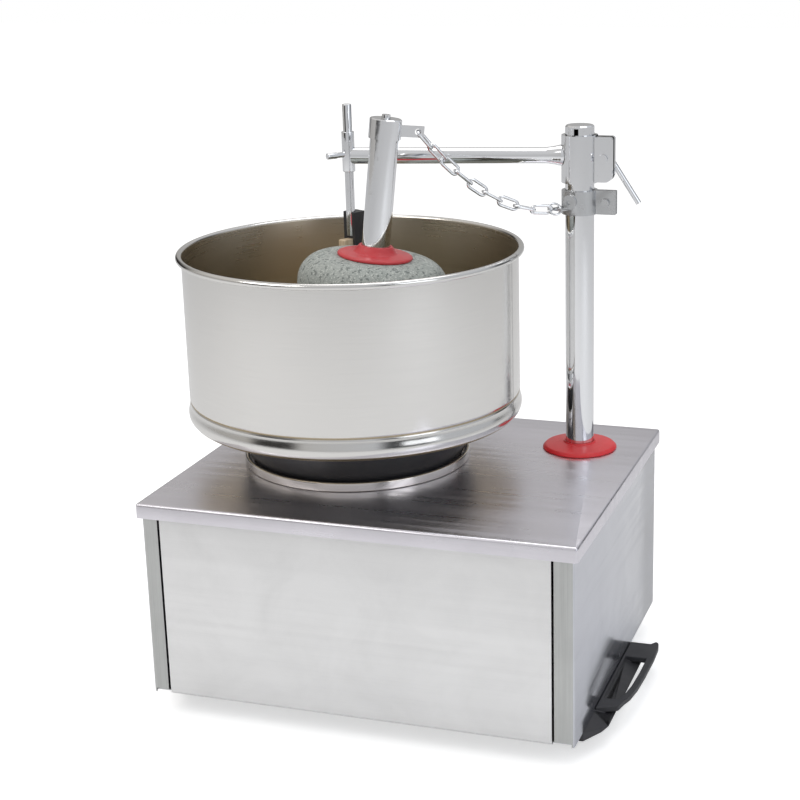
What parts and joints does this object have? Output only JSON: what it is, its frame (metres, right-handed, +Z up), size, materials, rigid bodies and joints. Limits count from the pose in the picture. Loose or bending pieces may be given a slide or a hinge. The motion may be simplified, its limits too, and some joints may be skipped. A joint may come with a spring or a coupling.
{
  "type": "wet grinder",
  "caption": "Table-top wet grinder: steel drum turned by a belt over a sheet steel cabinet, leaning granite roller tied by a chain to a chromed post, arm with scraper.",
  "frame": {"origin": "on the table, at the bottom centre of the bounding box", "axes": "+Z up, front of the cabinet towards -Y, post at the right rear (+X, +Y)"},
  "size_m": [0.5402, 0.4034, 0.6389],
  "materials": {
    "sheet_steel": "polished to satin",
    "chrome": "polished",
    "zinc": "zinc plated",
    "grey_paint": "satin paint",
    "black_casting": "satin",
    "black_plastic": "matt",
    "red_nylon": "low gloss",
    "granite": "pecked",
    "wood": "bare",
    "rubber": "matt",
    "aluminium": "satin"
  },
  "bodies": {
    "cabinet": {"top_plate": "sheet_steel", "front_panel": "sheet_steel", "rear_panel": "sheet_steel", "left_side": "sheet_steel", "right_side": "sheet_steel", "base_tray": "zinc", "mount_plate": "grey_paint", "foot_front_left": "rubber", "foot_front_right": "rubber", "foot_rear_left": "rubber", "foot_rear_right": "rubber", "left_handle": "black_plastic", "right_handle": "black_plastic", "switch_housing": "black_plastic", "cable_gland": "black_plastic", "motor_body": "grey_paint", "motor_bracket": "grey_paint", "drive_belt": "rubber", "bearing_housing": "grey_paint", "upper_bearing": "sheet_steel", "lower_bearing": "sheet_steel", "capacitor": "aluminium", "seat_ring": "sheet_steel", "post_tube": "chrome", "post_bush": "red_nylon", "post_foot": "grey_paint", "chain_clamp": "zinc", "chain_clamp_bolt": "zinc", "axle_tube": "chrome", "axle_cap": "chrome"},
    "drum": {"drum_shell": "sheet_steel", "base_stone": "granite", "turntable": "black_casting", "spindle": "zinc", "driven_pulley": "aluminium"},
    "motor_rotor": {"motor_shaft": "zinc", "motor_pulley": "aluminium"},
    "roller": {"roller_stone": "granite", "stone_bush_top": "red_nylon", "stone_bush_bottom": "red_nylon"},
    "chain": {"chain_link_1": "chrome", "chain_link_2": "chrome", "chain_link_3": "chrome", "chain_link_4": "chrome", "chain_link_5": "chrome", "chain_link_6": "chrome", "chain_link_7": "chrome", "chain_link_8": "chrome", "chain_link_9": "chrome", "chain_ring": "chrome"},
    "arm": {"arm_clamp": "chrome", "arm_rod": "chrome", "tee_sleeve": "chrome"},
    "scraper": {"scraper_rod": "chrome", "scraper_holder": "black_casting", "scraper_board": "wood"},
    "lever": {"clamp_lever": "chrome"},
    "lock_screw": {"rod_lock_screw": "chrome"},
    "rocker": {"switch_rocker": "red_nylon"}
  },
  "joints": [
    {"name": "drum_spin", "type": "hinge", "parent": "cabinet", "child": "drum", "pos_m": [-0.071, 0.0112, 0.3], "axis": [0, 0, 1], "continuous": true},
    {"name": "motor_spin", "type": "hinge", "parent": "cabinet", "child": "motor_rotor", "pos_m": [0.115, -0.0658, 0.083], "axis": [0, 0, 1], "continuous": true},
    {"name": "stone_spin", "type": "hinge", "parent": "cabinet", "child": "roller", "pos_m": [-0.0367, -0.0486, 0.34445], "axis": [0.1058, 0.0344, 0.9938], "continuous": true},
    {"name": "chain_swing", "type": "hinge", "parent": "cabinet", "child": "chain", "pos_m": [0.02133, -0.01861, 0.61838], "axis": [0.7032, 0.4998, -0.5056], "range_deg": [-5, 8]},
    {"name": "arm_swing", "type": "hinge", "parent": "cabinet", "child": "arm", "pos_m": [0.165, 0.1012, 0.5803], "axis": [0, 0, 1], "range_deg": [-20, 2]},
    {"name": "scraper_slide", "type": "slide", "parent": "arm", "child": "scraper", "axis": [0, 0, 1], "range_m": [0, 0.04]},
    {"name": "lever_turn", "type": "hinge", "parent": "arm", "child": "lever", "pos_m": [0.193, 0.1012, 0.578], "axis": [0, 1, 0], "range_deg": [-60, 15]},
    {"name": "lock_screw_turn", "type": "hinge", "parent": "arm", "child": "lock_screw", "pos_m": [-0.08443, 0.04818, 0.582], "axis": [-0.6157, -0.788, 0], "range_deg": [0, 180]},
    {"name": "rocker_tilt", "type": "hinge", "parent": "cabinet", "child": "rocker", "pos_m": [-0.233, -0.0908, 0.153], "axis": [0, 1, 0], "range_deg": [-18, 0]}
  ],
  "couplings": [
    {"joint": "motor_spin", "follows": "drum_spin", "ratio": 6.07},
    {"joint": "stone_spin", "follows": "drum_spin", "ratio": 1.18}
  ]
}
